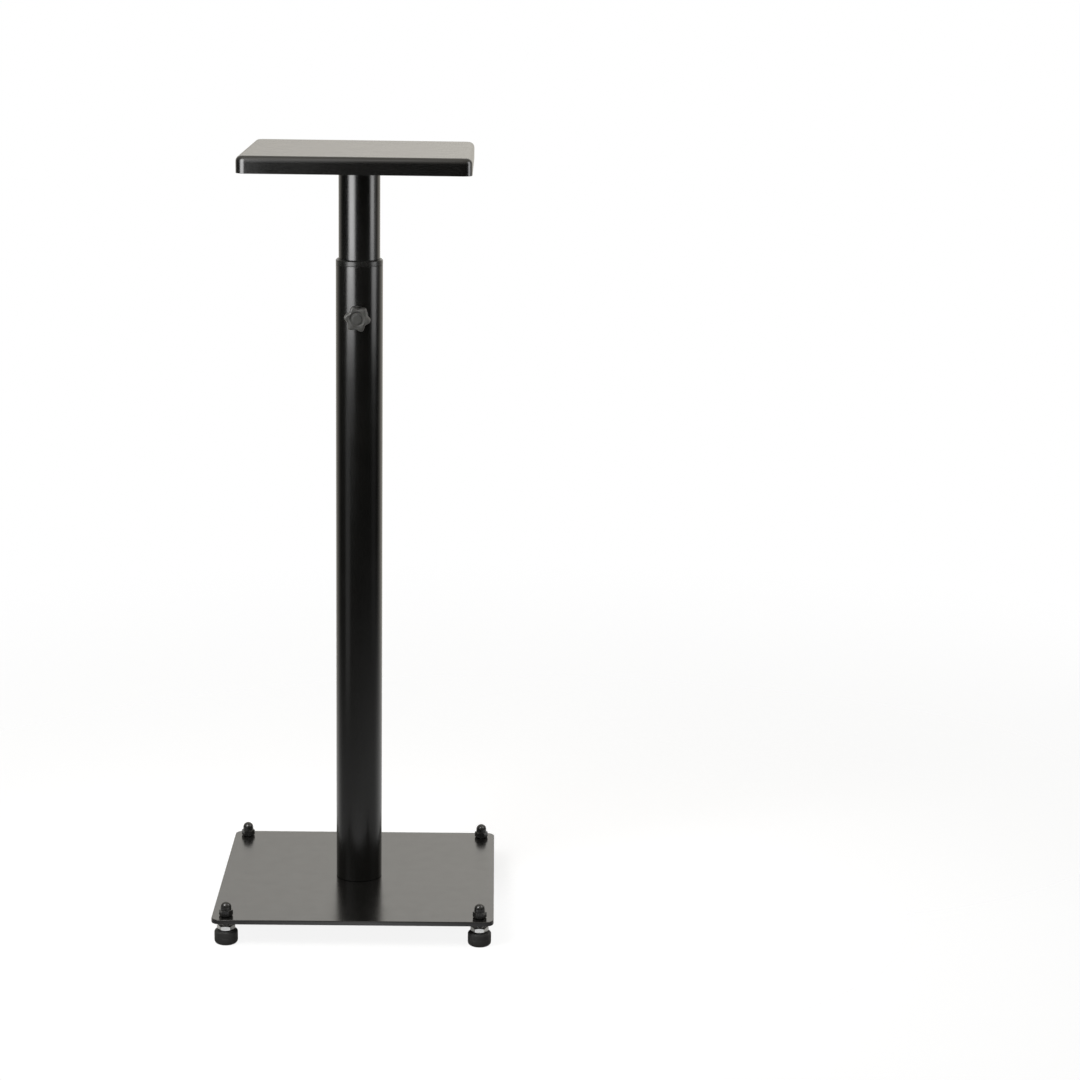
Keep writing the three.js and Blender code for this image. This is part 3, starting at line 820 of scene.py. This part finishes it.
# Pale floor: a flat disc of rings. For the camera, and in gloss, a share of its white comes from
# itself, so that it meets the white behind it and still keeps the stand's shadow.
def makeFloor(look):
    rings = np.arange(look["rings"] + 1) / look["rings"] * look["radius"] / mm
    mesh = gridMesh("floor", [turnedRows([(ring, 0) for ring in rings], evenAngles(96))])
    if mesh.polygons[0].normal.z < 0:
        mesh.flip_normals()
    floor = bpy.data.objects.new("floor", mesh)
    bpy.context.scene.collection.objects.link(floor)
    material = bpy.data.materials.new("paleFloor")
    material.use_nodes = True
    tree = material.node_tree
    shader = tree.nodes["Principled BSDF"]
    shader.inputs["Base Color"].default_value = (look["tone"],) * 3 + (1,)
    shader.inputs["Roughness"].default_value = look["roughness"]
    shader.inputs["Specular IOR Level"].default_value = look["gloss"]
    shader.inputs["Emission Color"].default_value = (1, 1, 1, 1)
    position = addNode(tree, "ShaderNodeTexCoord").outputs["Object"]
    seen, inGloss = rayKinds(tree)
    # In gloss the floor's glow also holds a painted shadow round the plate and a painted pool of
    # light in front of it.
    mirrored = sumOf(tree, "MULTIPLY", inGloss, paintedFloorLightInGloss(tree, position, paintedFloorLightLook))
    glow = sumOf(tree, "MULTIPLY_ADD", seen, look["glow"], mirrored)
    tree.links.new(glow, shader.inputs["Emission Strength"])
    clear = addNode(tree, "ShaderNodeBsdfTransparent").outputs[0]
    solidness = {0: floorShare(tree, position, look), 1: clear, 2: shader.outputs[0]}
    blend = addNode(tree, "ShaderNodeMixShader", solidness).outputs[0]
    tree.links.new(blend, tree.nodes["Material Output"].inputs["Surface"])
    floor.data.materials.append(material)


# How solid the floor is: less with the distance from the stand, to a power, and less towards the
# camera, as a studio floor falls into the dark.
def floorShare(tree, position, look):
    away = vectorOf(tree, "DISTANCE", position, look["fadeMiddle"])
    fade = sumOf(tree, "POWER", rangeOf(tree, away, *look["fade"]), look["fadePower"])
    outward = vectorOf(tree, "NORMALIZE", position)
    toBack = addNode(tree, "ShaderNodeSeparateXYZ", {0: outward}).outputs[1]
    side = rangeOf(tree, toBack, *look["toBack"], look["frontShare"])
    return sumOf(tree, "MULTIPLY", fade, side)


# Painted shadow and painted light on the floor as gloss sees it: its glow is lowered under the
# plate and raised in front of it.
paintedFloorLightLook = {"middle": 0.03, "shade": (0.20, 0.24), "paintedShadowGlow": 0.2, "openGlow": 0.6,
                 "front": (-0.155, -0.185), "near": (0.27, 0.2), "paintedFrontPoolGlow": 2.6}


# The floor's glow in gloss, with painted shade and painted light: a painted shadow, low in the
# square that the floor plate shades, where the larger of the two distances from its middle counts,
# and a painted pool of light, strongest close to the plate's front.
def paintedFloorLightInGloss(tree, position, look):
    across, along = addNode(tree, "ShaderNodeSeparateXYZ", {0: position}).outputs[:2]
    aside = sumOf(tree, "ABSOLUTE", across)
    ahead = sumOf(tree, "ABSOLUTE", sumOf(tree, "SUBTRACT", along, look["middle"]))
    square = sumOf(tree, "MAXIMUM", aside, ahead)
    paintedShadowOrOpen = rangeOf(tree, square, *look["shade"], look["paintedShadowGlow"], look["openGlow"])
    front = rangeOf(tree, along, *look["front"])
    near = rangeOf(tree, vectorOf(tree, "LENGTH", position), *look["near"], 0, look["paintedFrontPoolGlow"])
    return sumOf(tree, "MULTIPLY_ADD", front, near, paintedShadowOrOpen)


worldLook = {"ambient": 0.2, "warmWhite": (1.0, 0.955, 0.86), "backdrop": 0.85, "leftShare": 0.82,
             "toRight": (-0.12, 0.02), "backdropAngles": (78, 30),
             "overhead": 1.0, "domePower": 1.2}


# White world. Gloss sees the white backdrop behind the stand, a dark studio round it and a ceiling
# that brightens with the height to a power. Matt surfaces see an even light.
def makeWorld(look):
    world = bpy.data.worlds.new("studio")
    bpy.context.scene.world = world
    world.use_nodes = True
    tree = world.node_tree
    background = tree.nodes["Background"]
    direction = addNode(tree, "ShaderNodeTexCoord").outputs["Generated"]
    heading = vectorOf(tree, "NORMALIZE", vectorOf(tree, "MULTIPLY", direction, (1, 1, 0)))
    toRight, toBack = addNode(tree, "ShaderNodeSeparateXYZ", {0: heading}).outputs[:2]
    above = addNode(tree, "ShaderNodeSeparateXYZ", {0: direction}).outputs[2]
    edges = [cos(radians(angle)) for angle in look["backdropAngles"]]
    behind = rangeOf(tree, toBack, *edges, interpolation_type="SMOOTHSTEP")
    left = look["backdrop"] * look["leftShare"]
    level = rangeOf(tree, toRight, *look["toRight"], left, look["backdrop"])
    backdrop = sumOf(tree, "MULTIPLY", behind, level)
    dome = sumOf(tree, "POWER", sumOf(tree, "MAXIMUM", above, 0.0), look["domePower"])
    mirrored = sumOf(tree, "MAXIMUM", backdrop, sumOf(tree, "MULTIPLY", dome, look["overhead"]))
    seen, inGloss = rayKinds(tree)
    glowKinds = {0: inGloss, 2: look["ambient"], 3: mirrored}
    glossOrMatt = addNode(tree, "ShaderNodeMix", glowKinds).outputs[0]
    strength = sumOf(tree, "MAXIMUM", seen, glossOrMatt)
    tree.links.new(colourOf(tree, seen, look["warmWhite"], (1, 1, 1)), background.inputs["Color"])
    tree.links.new(strength, background.inputs["Strength"])


# A soft box: a lamp at its place, turned to face its aim, that looks equally bright at any size.
def makeSoftBox(name, place, aim, width, height, radiance):
    light = bpy.data.lights.new(name, "AREA")
    light.shape = "RECTANGLE"
    light.size, light.size_y = width, height
    light.energy = radiance * pi * width * height
    lamp = bpy.data.objects.new(name, light)
    lamp.location = place
    lamp.rotation_euler = (Vector(aim) - Vector(place)).to_track_quat("-Z", "Y").to_euler()
    lamp.visible_camera = False
    bpy.context.scene.collection.objects.link(lamp)


# Upright soft boxes, each at an angle to the camera's side of the stand and facing its column.
uprightBoxes = {
    "leftSoftBox": {"angle": -40, "away": 0.8, "width": 0.58,
                    "low": 0.52, "high": 1.45, "radiance": 4.4},
    "leftHotMiddle": {"angle": -40, "away": 0.79, "width": 0.36,
                      "low": 0.61, "high": 1.30, "radiance": 4.4},
    "leftSkirt": {"angle": -56, "away": 0.8, "width": 0.34,
                  "low": 0.03, "high": 0.52, "radiance": 0.31},
    "rightSoftBox": {"angle": 78, "away": 0.8, "width": 0.38,
                     "low": 0.52, "high": 1.35, "radiance": 2.3},
    "rightHotMiddle": {"angle": 78, "away": 0.79, "width": 0.26,
                       "low": 0.64, "high": 1.25, "radiance": 2.3},
    "rightFill": {"angle": 98, "away": 0.8, "width": 0.2,
                  "low": 0.60, "high": 1.35, "radiance": 0.55},
    "rightSkirt": {"angle": 78, "away": 0.8, "width": 0.34,
                   "low": 0.10, "high": 0.52, "radiance": 0.08},
    "backSoftBox": {"angle": 180, "away": 6.0, "width": 7.0,
                    "low": 1.8, "high": 3.6, "radiance": 0.6},
}


# Soft box whose place is (away x sin(angle), -away x cos(angle)), half way between low and high.
def makeUprightBox(name, box):
    angle = radians(box["angle"])
    height = (box["low"] + box["high"]) / 2
    place = (box["away"] * sin(angle), -box["away"] * cos(angle), height)
    tall = box["high"] - box["low"]
    makeSoftBox(name, place, (0, 0, height), box["width"], tall, box["radiance"])


# One over the tray, and two low in front of it, where only the tray's edge mirrors them.
trayBoxes = {
    "topSoftBox": {"place": (-0.32, -0.58, 1.5), "aim": (0, 0, 0.8),
                   "width": 0.75, "height": 0.75, "radiance": 0.9},
    "trayGlow": {"place": (-0.42, -0.70, 1.06), "aim": (-0.42, 0, 1.06),
                 "width": 0.74, "height": 0.46, "radiance": 0.5},
    "trayLowGlow": {"place": (-0.46, -0.69, 0.95), "aim": (-0.46, 0, 0.95),
                    "width": 0.66, "height": 0.28, "radiance": 0.35},
}

# Metres, degrees, and millimetres of lens and sensor.
view = {"place": (0.144165, -2.941615, 1.056911), "yaw": 1.0066, "pitch": 12.3332, "roll": 0.8387,
        "lens": 92.54, "sensor": 36}


# Camera at its place: rolled about its own axis, tilted down by the pitch, then turned by the yaw.
def makeCamera(look):
    data = bpy.data.cameras.new("photoView")
    data.sensor_width, data.lens = look["sensor"], look["lens"]
    camera = bpy.data.objects.new("photoView", data)
    heading = Matrix.Rotation(-radians(look["yaw"]), 4, "Z")
    tilt = Matrix.Rotation(pi / 2 - radians(look["pitch"]), 4, "X")
    roll = Matrix.Rotation(radians(look["roll"]), 4, "Z")
    camera.matrix_world = Matrix.Translation(look["place"]) @ heading @ tilt @ roll
    bpy.context.scene.collection.objects.link(camera)
    bpy.context.scene.camera = camera


makeFloor(floorLook)
makeWorld(worldLook)
for name, box in uprightBoxes.items():
    makeUprightBox(name, box)
for name, box in trayBoxes.items():
    makeSoftBox(name, **box)
makeCamera(view)
bpy.context.scene.view_settings.view_transform = "Standard"
print("studio ready")

bpy.context.view_layer.update()
